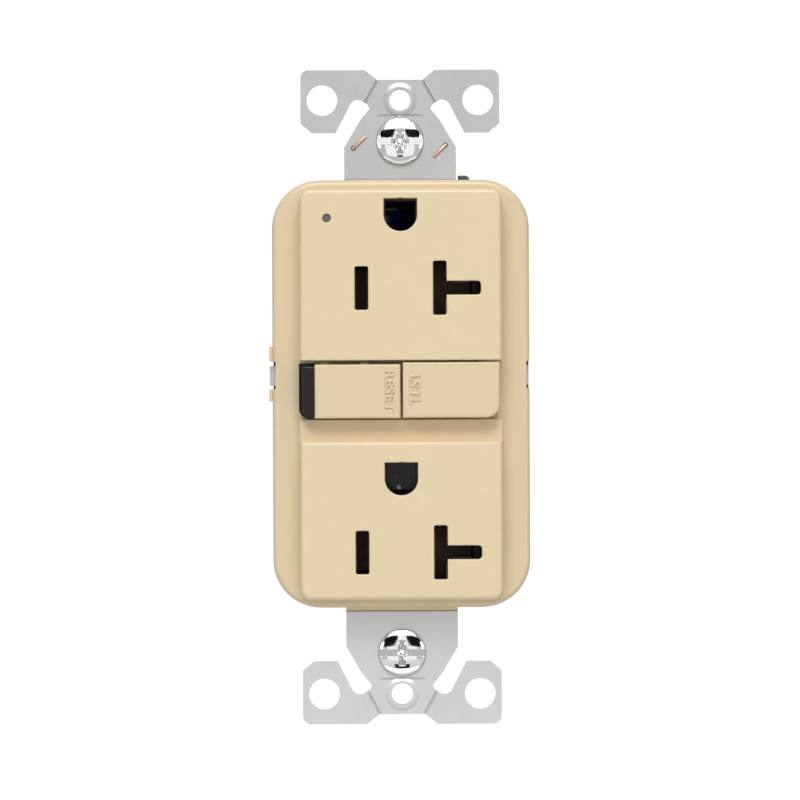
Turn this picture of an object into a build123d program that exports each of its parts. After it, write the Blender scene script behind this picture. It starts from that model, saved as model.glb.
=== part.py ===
"""Duplex ground-fault outlet, ground holes up. Millimetres.
X is right, Z is up along the long axis, the face looks towards -Y.
The origin lies on the strap's back face, midway between the two box screws."""
from build123d import *
import os

os.makedirs("parts", exist_ok=True)

# ---- driving dimensions: strap
STRAP_T = 1.2
BOX_SCREW_Z = 41.67
PLATE_SCREW_Z = 48.42
PLATE_HOLE_R = 1.75
PLATE_RING_R = 2.8
EAR_HOLE_X = 12.7
EAR_HOLE_R = 2.52
NECK_X = 9.1
EAR_X = 16.2
EAR_END_Z = 53.3
EAR_IN_Z = 43.1
WIRE_ENDS = ((-7.6, 40.55), (7.4, 41.0))
RIVET_DROP = -5.2
STRAP_BODY_X = 18.9
TAB_LEFT = -21.4
TAB_RIGHT = 20.8
TAB_Z = 3.5
TAB_H = 3.2

# ---- driving dimensions: front cover
FLANGE_X = 20.9
FLANGE_TOP = 35.3
FLANGE_BOTTOM = -34.25
FLANGE_R = 7.8
FLANGE_Y = -3.7
FACE_X = 16.38
FACE_TOP = 33.75
FACE_BOTTOM = -32.9
FACE_R = 1.7
FACE_Y = -9.0
WALL = 1.8
VALLEY_Y = -6.0
VALLEY_TOP = 5.94
VALLEY_BOTTOM = -7.14
BUTTON_BOTTOM = -3.7
BUTTON_FLOOR_Y = -3.8
OUTLETS = (
    # blade centre z, ground hole centre z
    (17.65, 29.55),
    (-25.2, -13.25),
)
BLADE_X = 6.35
HOT_SLOT = (2.2, 7.05)
NEUTRAL_SLOT = (2.2, 8.75)
TEE_SLOT_X = 13.0
TEE_SLOT_H = 2.25
GROUND_W = 5.4
GROUND_H = 5.25
LED_X = -11.95
LED_Z = 29.0

# ---- driving dimensions: rear cover
REAR_X = 20.2
REAR_TOP = 34.4
REAR_BOTTOM = -33.6
REAR_R = 6.8
REAR_DEPTH = 26.0
REAR_WALL = 1.6
RECESS_X = 14.2
RECESS_DEPTH = 15.0
TERMINAL_Z = (12.5, -12.5)
TERMINAL_Y = 7.5
RECESS_HALF_Z = 6.5
WIRE_X = 16.25
WIRE_R = 1.2
WIRE_DZ = 3.4
ASSEMBLY_SCREWS = ((-16.1, 28.4), (16.1, 23.0), (-16.1, -27.6), (16.1, -27.6))

# ---- driving dimensions: mechanism
PIN_X = -3.5
PIN_Z = 0.9
PIN_R = 1.0
PIN_HEAD_R = 1.7
PLATE_Y = 16.0
ARM_X = 8.5
ARM_Y = 11.15
ARM_ROOT_Z = -20.0
ARM_BEND_Z = -20.5
TEST_X = 8.1


def at(y):
    """A drawing plane facing the front at depth y."""
    return Plane.XZ.offset(-y)


def side(x):
    """A drawing plane facing +X at x. Its own x is depth, its own y is height."""
    return Plane.YZ.offset(x)


def save(builder, name):
    builder.part.label = name
    export_step(builder.part, f"parts/{name}.step")


def slab(name, x0, x1, z0, z1, y0, y1, radius=0.0, rim=0.0):
    """A rounded slab between two depths."""
    with BuildPart() as piece:
        with BuildSketch(at(y1)):
            with Locations(((x0 + x1) / 2, (z0 + z1) / 2)):
                if radius > 0:
                    RectangleRounded(x1 - x0, z1 - z0, radius)
                else:
                    Rectangle(x1 - x0, z1 - z0)
        extrude(amount=y1 - y0)
        if rim > 0:
            chamfer(piece.edges(), length=rim)
    save(piece, name)


# ------------------------------------------------------------------ strap
def build_strap():
    body_top = 33.2
    body_bottom = -32.4
    with BuildPart() as strap:
        # ends: ears, neck and the outer edge with its dip
        for flip in (1, -1):
            with BuildSketch(at(0)):
                for hand in (1, -1):
                    with BuildLine():
                        Polyline(
                            (0, flip * 30.0), (hand * NECK_X, flip * 30.0), (hand * NECK_X, flip * 40.7),
                            (hand * 6.5, flip * 45.1), (hand * 4.95, flip * 47.0), (hand * 5.25, flip * 47.7),
                            (hand * 6.55, flip * 48.5), (hand * 7.4, flip * 48.45), (hand * 8.0, flip * 48.0),
                            (hand * 10.5, flip * EAR_IN_Z), (hand * 14.4, flip * EAR_IN_Z),
                            (hand * EAR_X, flip * (EAR_IN_Z + 1.5)), (hand * EAR_X, flip * EAR_END_Z),
                            (hand * 5.7, flip * EAR_END_Z),
                            (hand * 3.7, flip * 51.7), (0, flip * 51.7), (0, flip * 30.0),
                        )
                    make_face()
            extrude(amount=STRAP_T)
        corners = strap.edges().filter_by(Axis.Y).filter_by(
            lambda edge: abs(edge.center().X) > EAR_X - 0.1 and abs(edge.center().Z) > EAR_END_Z - 0.1
        )
        fillet(corners, radius=1.3)
        # plate that the front cover hides
        with BuildSketch(at(0)):
            with Locations((0, (body_top + body_bottom) / 2)):
                RectangleRounded(2 * STRAP_BODY_X, body_top - body_bottom, 5.5)
            with Locations(((TAB_LEFT + TAB_RIGHT) / 2, TAB_Z)):
                Rectangle(TAB_RIGHT - TAB_LEFT, TAB_H)
        extrude(amount=STRAP_T)
        # raised rings of the plate screw holes
        with BuildSketch(at(-STRAP_T)):
            with Locations((0, PLATE_SCREW_Z), (0, -PLATE_SCREW_Z)):
                Circle(PLATE_RING_R)
        extrude(amount=0.25, taper=68)
        with BuildSketch(at(0)):
            with Locations((0, PLATE_SCREW_Z), (0, -PLATE_SCREW_Z)):
                Circle(2.1)
        extrude(amount=-1.1)
        with BuildSketch(at(1.1)):
            with Locations((0, PLATE_SCREW_Z), (0, -PLATE_SCREW_Z)):
                Circle(PLATE_HOLE_R)
            with Locations((0, BOX_SCREW_Z), (0, -BOX_SCREW_Z)):
                Circle(2.0)
            for flip in (1, -1):
                with Locations((EAR_HOLE_X, flip * 48.4), (-EAR_HOLE_X, flip * 48.4)):
                    Circle(EAR_HOLE_R)
        extrude(amount=4.0, mode=Mode.SUBTRACT)
        # round dish under each box screw's head
        with BuildSketch(at(-STRAP_T)):
            with Locations((0, BOX_SCREW_Z), (0, -BOX_SCREW_Z)):
                Circle(3.9)
        extrude(amount=-0.35, mode=Mode.SUBTRACT)
        # holes for the grounding wires and for the ground contacts' rivets
        with BuildSketch(at(0)):
            with Locations(*WIRE_ENDS):
                Circle(0.4)
            for blade_z, ground_z in OUTLETS:
                with Locations((0, ground_z + RIVET_DROP)):
                    Circle(0.75)
        extrude(amount=STRAP_T, mode=Mode.SUBTRACT)
        # break-off grooves
        with BuildSketch(at(-STRAP_T)):
            for flip in (1, -1):
                for hand in (1, -1):
                    with BuildLine():
                        Polyline(
                            (hand * 6.0, flip * 47.8), (hand * 5.45, flip * 47.8),
                            (hand * 3.05, flip * 52.2), (hand * 3.6, flip * 52.2), (hand * 6.0, flip * 47.8),
                        )
                    make_face()
        extrude(amount=-0.7, mode=Mode.SUBTRACT)
        # windows: blades, buttons, ground pins, corner notches for the cover's bosses
        with BuildSketch(at(0)):
            for blade_z, ground_z in OUTLETS:
                with Locations((-7.0, blade_z)):
                    RectangleRounded(8.4, 12.6, 1.0)
                with Locations((8.2, blade_z)):
                    RectangleRounded(11.2, 12.6, 1.0)
                with Locations((0, ground_z)):
                    RectangleRounded(6.0, 6.0, 1.0)
            with Locations((0, 0.9)):
                RectangleRounded(30.6, 11.4, 1.0)
            with Locations((LED_X, LED_Z - 1.0)):
                RectangleRounded(3.0, 4.5, 0.8)
            with Locations(*ASSEMBLY_SCREWS):
                Circle(2.9)
        extrude(amount=STRAP_T, mode=Mode.SUBTRACT)
        # tapped tab that holds the ground screw, bent back beside the neck
        with BuildSketch(side(8.0)):
            with Locations((4.8, 32.2)):
                Rectangle(9.6 + 2.4, 8.6)
        extrude(amount=NECK_X - 8.0)
        with BuildSketch(side(8.0)):
            with Locations((5.2, 31.9)):
                Circle(1.95)
        extrude(amount=2.0, mode=Mode.SUBTRACT)
    save(strap, "mounting_strap")


# ------------------------------------------------------------ front cover
def build_front_cover():
    mid = (FLANGE_TOP + FLANGE_BOTTOM) / 2
    tall = FLANGE_TOP - FLANGE_BOTTOM
    face_mid = (FACE_TOP + FACE_BOTTOM) / 2
    face_tall = FACE_TOP - FACE_BOTTOM
    skirt = 1.6
    with BuildPart() as cover:
        # flange with its skirt back to the strap's back face
        with BuildSketch(at(0)):
            with Locations((0, mid)):
                RectangleRounded(2 * FLANGE_X, tall, FLANGE_R)
        extrude(amount=-FLANGE_Y)
        fillet(cover.faces().sort_by(Axis.Y)[0].edges(), radius=0.9)
        # raised face
        with BuildSketch(at(FLANGE_Y)):
            with Locations((0, face_mid)):
                RectangleRounded(2 * FACE_X, face_tall, FACE_R)
        extrude(amount=FLANGE_Y - FACE_Y)
        # valley across the face
        with BuildSketch(at(VALLEY_Y)):
            with Locations((0, (VALLEY_TOP + VALLEY_BOTTOM) / 2)):
                Rectangle(2 * FACE_X + 2, VALLEY_TOP - VALLEY_BOTTOM)
        extrude(amount=8, mode=Mode.SUBTRACT)
        rims = cover.faces().filter_by(Axis.Y).group_by(Axis.Y)[0].edges()
        fillet(rims.filter_by(lambda edge: abs(edge.center().Z - VALLEY_TOP) > 0.01), radius=0.75)
        # the edge above the buttons is sharper
        brow = cover.edges().filter_by(Axis.X).filter_by(
            lambda edge: abs(edge.center().Z - VALLEY_TOP) < 0.01 and edge.center().Y < FACE_Y + 0.01
        )
        fillet(brow, radius=0.25)
        # hollow behind the flange and the face
        with BuildSketch(at(0)):
            with Locations((0, mid)):
                RectangleRounded(2 * (FLANGE_X - skirt), tall - 2 * skirt, FLANGE_R - skirt)
        extrude(amount=STRAP_T, mode=Mode.SUBTRACT)
        with BuildSketch(at(0)):
            with Locations((0, (FACE_TOP + VALLEY_TOP) / 2)):
                Rectangle(2 * (FACE_X - 1.6), FACE_TOP - VALLEY_TOP - 3.2)
            with Locations((0, (FACE_BOTTOM + VALLEY_BOTTOM) / 2)):
                Rectangle(2 * (FACE_X - 1.6), VALLEY_BOTTOM - FACE_BOTTOM - 3.2)
        extrude(amount=-FACE_Y - WALL, mode=Mode.SUBTRACT)
        # button wells: a wide upper well and a narrow deep one
        with BuildSketch(at(BUTTON_FLOOR_Y)):
            with Locations((-0.15, (VALLEY_TOP + BUTTON_BOTTOM) / 2)):
                Rectangle(2 * FACE_X + 2, VALLEY_TOP - BUTTON_BOTTOM)
        extrude(amount=8, mode=Mode.SUBTRACT)
        with BuildSketch(at(0)):
            with Locations((-7.95, 0.95), (7.95, 1.1)):
                RectangleRounded(13.4, 7.2, 0.8)
        extrude(amount=6, mode=Mode.SUBTRACT)
        # screw bosses
        with BuildSketch(at(0)):
            with Locations(*ASSEMBLY_SCREWS):
                Circle(2.6)
        extrude(amount=3.0)
        with BuildSketch(at(0)):
            with Locations(*ASSEMBLY_SCREWS):
                Circle(1.2)
        extrude(amount=3.0, mode=Mode.SUBTRACT)
        # slots
        with BuildSketch(at(0)):
            for blade_z, ground_z in OUTLETS:
                with Locations((-BLADE_X, blade_z)):
                    RectangleRounded(*HOT_SLOT, 0.35)
                with Locations((BLADE_X, blade_z)):
                    RectangleRounded(*NEUTRAL_SLOT, 0.35)
                with Locations(((BLADE_X + TEE_SLOT_X) / 2, blade_z)):
                    RectangleRounded(TEE_SLOT_X - BLADE_X, TEE_SLOT_H, 0.6)
                with Locations((0, ground_z)):
                    Circle(GROUND_W / 2)
                with Locations((0, ground_z + GROUND_H / 4)):
                    Rectangle(GROUND_W, GROUND_H / 2)
            with Locations((LED_X, LED_Z)):
                Circle(0.675)
        extrude(amount=12, mode=Mode.SUBTRACT)
        for face in cover.faces().filter_by(Axis.Y).group_by(Axis.Y)[0]:
            fillet(face.inner_wires().edges(), radius=0.2)
        # gates in the skirt for the necks and the two side tabs
        with BuildSketch(at(0)):
            Rectangle(2 * (NECK_X + 0.1), 80)
            with Locations((0, TAB_Z + 0.1)):
                Rectangle(46, TAB_H + 1.2)
        extrude(amount=STRAP_T, mode=Mode.SUBTRACT)
        with BuildSketch(at(0)):
            with Locations((FLANGE_X + 0.5, TAB_Z + 0.1), (-FLANGE_X - 0.5, TAB_Z + 0.1)):
                Rectangle(2.0, TAB_H + 1.2)
        extrude(amount=6, mode=Mode.SUBTRACT)
        # pads on the left edge, above and below its tab
        with BuildSketch(at(-0.4)):
            with Locations((-FLANGE_X - 0.2, 7.05)):
                Rectangle(0.7, 2.4)
            with Locations((-FLANGE_X - 0.2, 0.35)):
                Rectangle(0.7, 2.1)
        extrude(amount=2.2)
        # lip over the lower neck
        with BuildSketch(at(-STRAP_T - 0.1)):
            with Locations((0, FLANGE_BOTTOM)):
                Rectangle(2 * NECK_X, 0.9)
        extrude(amount=1.9)
    save(cover, "front_cover")


# -------------------------------------------------------------- rear cover
def build_rear_cover():
    mid = (REAR_TOP + REAR_BOTTOM) / 2
    tall = REAR_TOP - REAR_BOTTOM
    inner = REAR_WALL
    with BuildPart() as rear:
        with BuildSketch(at(REAR_DEPTH)):
            with Locations((0, mid)):
                RectangleRounded(2 * REAR_X, tall, REAR_R)
        extrude(amount=REAR_DEPTH)
        fillet(rear.faces().sort_by(Axis.Y)[-1].edges(), radius=1.2)
        # inside
        with BuildSketch(at(REAR_DEPTH - 1.8)):
            with Locations((0, mid)):
                RectangleRounded(2 * (REAR_X - inner), tall - 2 * inner, REAR_R - inner)
        extrude(amount=REAR_DEPTH, mode=Mode.SUBTRACT)
        # blocks that carry the side recesses, the screw bosses and the ground screw corner
        for z in TERMINAL_Z:
            for hand in (1, -1):
                with BuildSketch(at(REAR_DEPTH - 1.0)):
                    with Locations((hand * (13.2 + REAR_X - 1.0) / 2, z)):
                        Rectangle(REAR_X - 1.0 - 13.2, 2 * RECESS_HALF_Z + 2.0)
                extrude(amount=REAR_DEPTH - 1.0)
        with BuildSketch(at(REAR_DEPTH - 1.0)):
            with Locations(*ASSEMBLY_SCREWS):
                Circle(2.7)
            with Locations((12.6, 30.0)):
                Rectangle(13.2, 7.2)
        extrude(amount=REAR_DEPTH - 1.0)
        # keep every added block inside the outline
        with BuildSketch(at(REAR_DEPTH)):
            with Locations((0, mid)):
                RectangleRounded(2 * REAR_X, tall, REAR_R)
        extrude(amount=REAR_DEPTH, mode=Mode.INTERSECT)
        # side recesses
        for z in TERMINAL_Z:
            for hand in (1, -1):
                with BuildSketch(at(RECESS_DEPTH)):
                    with Locations((hand * (RECESS_X + 12.0), z)):
                        Rectangle(24.0, 2 * RECESS_HALF_Z)
                extrude(amount=RECESS_DEPTH + 1, mode=Mode.SUBTRACT)
                with BuildSketch(side(0)):
                    with Locations((TERMINAL_Y, z)):
                        Circle(1.95)
                extrude(amount=hand * 16, mode=Mode.SUBTRACT)
        # ground screw corner
        with BuildSketch(at(12.4)):
            with Locations((17.6, 37.2)):
                Rectangle(20.0, 20.0)
        extrude(amount=14, mode=Mode.SUBTRACT)
        # back-wire holes
        with BuildSketch(at(REAR_DEPTH)):
            for z in TERMINAL_Z:
                for hand in (1, -1):
                    with Locations((hand * WIRE_X, z - WIRE_DZ), (hand * WIRE_X, z + WIRE_DZ)):
                        Circle(WIRE_R)
        extrude(amount=REAR_DEPTH - RECESS_DEPTH, mode=Mode.SUBTRACT)
        # assembly screw holes and their counterbores
        with BuildSketch(at(REAR_DEPTH)):
            with Locations(*ASSEMBLY_SCREWS):
                Circle(1.35)
        extrude(amount=REAR_DEPTH, mode=Mode.SUBTRACT)
        with BuildSketch(at(REAR_DEPTH)):
            with Locations(*ASSEMBLY_SCREWS):
                Circle(2.35)
        extrude(amount=2.2, mode=Mode.SUBTRACT)
        # latch lugs behind the strap's side tabs
        with BuildSketch(at(6.0)):
            with Locations((REAR_X - 0.3, TAB_Z), (-REAR_X + 0.3, TAB_Z)):
                Rectangle(1.8, TAB_H + 1.5)
        extrude(amount=5.7)
        # strip gauge rib and two ribs on the back
        with BuildSketch(at(REAR_DEPTH)):
            with Locations((0, 24.0), (0, -24.0)):
                RectangleRounded(15.0, 1.2, 0.5)
            with Locations((0, 0.4)):
                RectangleRounded(1.2, 34.0, 0.5)
        extrude(amount=-0.4)
    save(rear, "rear_cover")


# --------------------------------------------------------- contact carrier
def build_carrier():
    with BuildPart() as carrier:
        with BuildSketch(at(9.2)):
            with Locations((0, 0.4)):
                Rectangle(25.6, 62.6)
        extrude(amount=9.2)
        with BuildSketch(at(8.0)):
            with Locations((0, 0.4)):
                Rectangle(23.4, 60.4)
        extrude(amount=9.0, mode=Mode.SUBTRACT)
        # walls between the blade columns and the button bay
        with BuildSketch(at(9.2)):
            for z in (9.3, -8.3):
                with Locations((0, z)):
                    Rectangle(25.6, 1.2)
        extrude(amount=9.2)
        # bay floor: reset pin guide, lead slots for the fixed contacts
        with BuildSketch(at(9.2)):
            with Locations((PIN_X, PIN_Z)):
                Circle(2.6)
        extrude(amount=3.2)
        with BuildSketch(at(9.2)):
            with Locations((PIN_X, PIN_Z)):
                Circle(1.12)
            with Locations((-ARM_X, 1.2), (ARM_X, 1.2)):
                Rectangle(5.0, 5.0)
            for blade_z, ground_z in OUTLETS:
                with Locations((0, ground_z)):
                    Rectangle(6.2, 6.2)
                with Locations((-BLADE_X, blade_z), (BLADE_X, blade_z)):
                    Rectangle(2.6, 7.4)
            with Locations((LED_X, LED_Z)):
                Rectangle(3.4, 3.4)
        extrude(amount=9.2, mode=Mode.SUBTRACT)
        # passages for the bus bars through the two walls
        with BuildSketch(at(8.0)):
            for z in (9.3, -8.3):
                with Locations((-10.2, z), (10.8, z)):
                    Rectangle(1.6, 3.0)
                with Locations((TEST_X - 0.1, z)):
                    Rectangle(4.4, 3.0)
        extrude(amount=5.0, mode=Mode.SUBTRACT)
        # post under the test blade's root
        with BuildSketch(at(8.6)):
            with Locations((TEST_X, -11.7)):
                Rectangle(2.4, 1.4)
        extrude(amount=3.6)
        # corner cut for the ground screw
        with BuildSketch(at(9.2)):
            with Locations((12.0, 32.0)):
                Rectangle(12.4, 12.4)
        extrude(amount=10, mode=Mode.SUBTRACT)
    save(carrier, "contact_carrier")


# ---------------------------------------------------------------- contacts
def build_ground_contacts():
    for name, (blade_z, ground_z) in zip(("ground_contact_upper", "ground_contact_lower"), OUTLETS):
        with BuildPart() as contact:
            # split sleeve, open on its lower side
            with BuildSketch(at(7.0)):
                with Locations((0, ground_z)):
                    Rectangle(5.8, 5.8)
                    Rectangle(4.9, 4.9, mode=Mode.SUBTRACT)
                with Locations((0, ground_z - 3.0)):
                    Rectangle(2.4, 2.4, mode=Mode.SUBTRACT)
            extrude(amount=7.0)
            # riveted foot under the strap
            with BuildSketch(at(0.8)):
                with Locations((0, ground_z - 5.0)):
                    Rectangle(3.0, 4.4)
                with Locations((2.05, ground_z - 2.9), (-2.05, ground_z - 2.9)):
                    Rectangle(1.6, 1.4)
            extrude(amount=0.8)
            with BuildSketch(at(0.4)):
                with Locations((0, ground_z + RIVET_DROP)):
                    Circle(0.7)
            extrude(amount=STRAP_T + 0.8)
            with BuildSketch(at(-STRAP_T)):
                with Locations((0, ground_z + RIVET_DROP)):
                    Circle(1.1)
            extrude(amount=0.4)
        save(contact, name)


def build_face_contacts():
    with BuildPart() as hot:
        for blade_z, ground_z in OUTLETS:
            # two facing spring fingers around the blade, joined at the back
            with BuildSketch(at(7.2)):
                with Locations((-BLADE_X - 1.1, blade_z), (-BLADE_X + 1.1, blade_z)):
                    Rectangle(0.5, 6.4)
            extrude(amount=9.7)
            with BuildSketch(at(7.2)):
                with Locations((-BLADE_X, blade_z)):
                    Rectangle(2.7, 6.4)
                with Locations((-8.7, blade_z)):
                    Rectangle(3.8, 4.0)
            extrude(amount=0.6)
        with BuildSketch(at(7.2)):
            with Locations((-10.2, -3.8)):
                Rectangle(0.8, 46.8)
        extrude(amount=2.4)
        with BuildSketch(at(7.4)):
            with Locations((-9.2, 1.2)):
                Rectangle(2.8, 4.0)
        extrude(amount=0.6)
        with BuildSketch(at(10.0)):
            with Locations((-ARM_X, 1.2)):
                Rectangle(2.0, 2.4)
        extrude(amount=2.8)
        with BuildSketch(at(10.6)):
            with Locations((-ARM_X, 1.2)):
                Circle(1.7)
        extrude(amount=1.0)
    save(hot, "hot_face_contact")
    with BuildPart() as neutral:
        for blade_z, ground_z in OUTLETS:
            with BuildSketch(at(7.2)):
                with Locations((BLADE_X - 1.1, blade_z), (BLADE_X + 1.1, blade_z + 3.0), (BLADE_X + 1.1, blade_z - 3.0)):
                    Rectangle(0.5, 2.6)
                with Locations((BLADE_X - 1.1, blade_z)):
                    Rectangle(0.5, 8.0)
            extrude(amount=9.7)
            with BuildSketch(at(7.2)):
                with Locations((BLADE_X, blade_z)):
                    Rectangle(2.7, 8.6)
            extrude(amount=0.5)
            # grips of the sideways branch of the T slot
            with BuildSketch(at(7.2)):
                with Locations((9.9, blade_z - 1.1), (9.9, blade_z + 1.1)):
                    Rectangle(3.0, 0.5)
            extrude(amount=9.7)
            with BuildSketch(at(7.2)):
                with Locations((9.3, blade_z)):
                    Rectangle(4.2, 3.0)
            extrude(amount=0.5)
        with BuildSketch(at(7.2)):
            with Locations((11.0, -3.8)):
                Rectangle(0.8, 46.8)
        extrude(amount=2.4)
        with BuildSketch(at(7.4)):
            with Locations((9.7, 1.2)):
                Rectangle(3.4, 2.6)
        extrude(amount=0.6)
        with BuildSketch(at(10.0)):
            with Locations((ARM_X, 1.2)):
                Rectangle(2.0, 2.4)
        extrude(amount=2.8)
        with BuildSketch(at(10.6)):
            with Locations((ARM_X, 1.2)):
                Circle(1.7)
        extrude(amount=1.0)
    save(neutral, "neutral_face_contact")


def build_arms():
    for name, hand in (("line_hot", -1), ("line_neutral", 1)):
        with BuildPart() as arm:
            with BuildSketch(at(ARM_Y + 0.2)):
                with Locations((hand * ARM_X, (ARM_ROOT_Z - 0.6 + 3.4) / 2)):
                    RectangleRounded(4.0, 3.4 - ARM_ROOT_Z + 0.6, 0.8)
            extrude(amount=0.4)
            with BuildSketch(at(ARM_Y - 0.2)):
                with Locations((hand * ARM_X, 1.2)):
                    Circle(1.5)
            extrude(amount=0.2)
            with BuildSketch(at(ARM_Y + 0.2)):
                with Locations((hand * ARM_X, -9.0)):
                    RectangleRounded(1.2, 8.0, 0.5)
            extrude(amount=0.4, mode=Mode.SUBTRACT)
            # bead across the root, where the arm bends
            with BuildSketch(side(hand * ARM_X - 2.0)):
                with Locations((ARM_Y, ARM_BEND_Z)):
                    Circle(0.3)
            extrude(amount=4.0)
        save(arm, name + "_arm")
        with BuildPart() as conductor:
            # bar from the arm's root to the cores, and the prong through them
            with BuildSketch(at(12.3)):
                with Locations((hand * 5.8, -22.2)):
                    Rectangle(9.4, 5.4)
            extrude(amount=0.8)
            with BuildSketch(at(22.2)):
                with Locations((hand * 1.7, -23.6)):
                    Rectangle(1.2, 2.2)
            extrude(amount=10.2)
        save(conductor, name + "_conductor")


def build_terminals():
    names = {(-1, -12.5): "line_hot", (1, -12.5): "line_neutral", (-1, 12.5): "load_hot", (1, 12.5): "load_neutral"}
    for (hand, z), name in names.items():
        with BuildPart() as plate:
            with BuildSketch(side(hand * RECESS_X)):
                with Locations((TERMINAL_Y + 0.2, z)):
                    RectangleRounded(11.0, 11.0, 0.8)
                with Locations((TERMINAL_Y, z)):
                    Circle(1.78, mode=Mode.SUBTRACT)
            extrude(amount=hand * 0.8)
        save(plate, name + "_terminal")
        with BuildPart() as clamp:
            with BuildSketch(side(hand * 17.5)):
                with Locations((TERMINAL_Y, z)):
                    RectangleRounded(9.6, 9.8, 0.8)
                    Circle(1.85, mode=Mode.SUBTRACT)
            extrude(amount=hand * 0.8)
            # turned-in lips that keep the wires under the plate
            with BuildSketch(side(hand * 17.5)):
                with Locations((TERMINAL_Y, z + 4.6), (TERMINAL_Y, z - 4.6)):
                    Rectangle(6.0, 0.5)
            extrude(amount=hand * -0.3)
        save(clamp, name + "_clamp")
        with BuildPart() as screw:
            with BuildSketch(side(hand * 18.35)):
                with Locations((TERMINAL_Y, z)):
                    Circle(3.8)
            extrude(amount=hand * 2.1)
            chamfer(screw.edges().group_by(Axis.X)[-1 if hand > 0 else 0], length=0.45)
            with BuildSketch(side(hand * 20.45)):
                with Locations((TERMINAL_Y, z)):
                    Rectangle(1.1, 7.6)
                    Rectangle(4.2, 1.1)
            extrude(amount=hand * -1.1, mode=Mode.SUBTRACT)
            with BuildSketch(side(hand * 18.35)):
                with Locations((TERMINAL_Y, z)):
                    Circle(1.7)
            extrude(amount=hand * -4.35)
        save(screw, name + "_screw")


# -------------------------------------------------------------- mechanism
def build_buttons():
    with BuildPart() as cap:
        # ivory cap
        with BuildSketch(at(-6.3)):
            with Locations((-7.05, 0.925)):
                Rectangle(13.9, 8.75)
        extrude(amount=2.6)
        fillet(cap.faces().sort_by(Axis.Y)[0].edges(), radius=0.35)
        # two guide ribs on its upper side
        with BuildSketch(at(-6.3)):
            with Locations((-12.45, 5.4), (-5.95, 5.4)):
                Rectangle(1.3, 0.6)
        extrude(amount=0.7)
        with BuildSketch(at(-3.2)):
            with Locations((-6.6, 0.95)):
                Rectangle(8.0, 5.6)
        extrude(amount=3.1)
    save(cap, "reset_button")
    with BuildPart() as shoulder:
        with BuildSketch(at(-6.3)):
            with BuildLine():
                Polyline((-14.05, 5.5), (-14.05, -3.5), (-14.9, -3.5))
                ThreePointArc((-14.9, -3.5), (-16.06, -3.02), (-16.55, -1.85))
                Polyline((-16.55, -1.85), (-16.55, 5.5), (-14.05, 5.5))
            make_face()
        extrude(amount=0.7)
        with BuildSketch(at(-7.0)):
            with BuildLine():
                Polyline((-14.05, 5.1), (-14.05, -3.3), (-14.6, -3.3))
                ThreePointArc((-14.6, -3.3), (-15.59, -2.89), (-16.0, -1.9))
                Polyline((-16.0, -1.9), (-16.0, 5.1), (-14.05, 5.1))
            make_face()
        extrude(amount=1.7)
        fillet(shoulder.faces().sort_by(Axis.Y)[0].edges().sort_by(Axis.X)[:-1], radius=0.45)
        # base under the cap, standing in the well
        with BuildSketch(at(-5.9)):
            with Locations((-15.1, 0.95)):
                Rectangle(2.4, 6.4)
        extrude(amount=0.4)
        with BuildSketch(at(-2.4)):
            with Locations((-7.95, 0.95)):
                Rectangle(12.8, 6.6)
        extrude(amount=3.9)
        with BuildSketch(at(-3.2)):
            with Locations((-6.6, 0.95)):
                Rectangle(8.0, 5.6)
        extrude(amount=4.0, mode=Mode.SUBTRACT)
    save(shoulder, "reset_carrier")
    with BuildPart() as test:
        with BuildSketch(at(-6.3)):
            with BuildLine():
                Polyline((0.28, 5.6), (15.98, 5.6), (15.98, -1.2))
                ThreePointArc((15.98, -1.2), (15.336, -2.756), (13.78, -3.4))
                Polyline((13.78, -3.4), (0.28, -3.4), (0.28, 5.6))
            make_face()
        extrude(amount=2.6)
        fillet(test.faces().sort_by(Axis.Y)[0].edges(), radius=0.35)
        with BuildSketch(at(-2.4)):
            with Locations((7.95, 1.1)):
                Rectangle(12.8, 6.6)
        extrude(amount=3.9)
        with BuildSketch(at(4.0)):
            with Locations((TEST_X, 1.1)):
                Rectangle(2.4, 2.4)
        extrude(amount=6.4)
    save(test, "test_button")


def build_reset_pin():
    with BuildPart() as pin:
        with BuildSketch(at(19.4)):
            with Locations((PIN_X, PIN_Z)):
                Circle(PIN_R)
        extrude(amount=21.8)
        with BuildSketch(at(18.6)):
            with Locations((PIN_X, PIN_Z)):
                Circle(PIN_HEAD_R)
        extrude(amount=1.55)
        with BuildSketch(at(-2.0)):
            with Locations((PIN_X, PIN_Z)):
                Circle(1.6)
        extrude(amount=0.4)
        chamfer(pin.faces().sort_by(Axis.Y)[-1].edges(), length=0.3)
    save(pin, "reset_pin")


def build_spring(name, radius, wire, turns, start, length, direction):
    """A wound spring from its start point along a direction."""
    with BuildPart() as spring:
        with BuildLine() as path:
            Helix(
                pitch=length / turns, height=length, radius=radius,
                center=start, direction=direction,
            )
        with BuildSketch(Plane(origin=path.line @ 0, z_dir=path.line % 0)):
            Circle(wire)
        sweep(is_frenet=True)
    save(spring, name)


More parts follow.
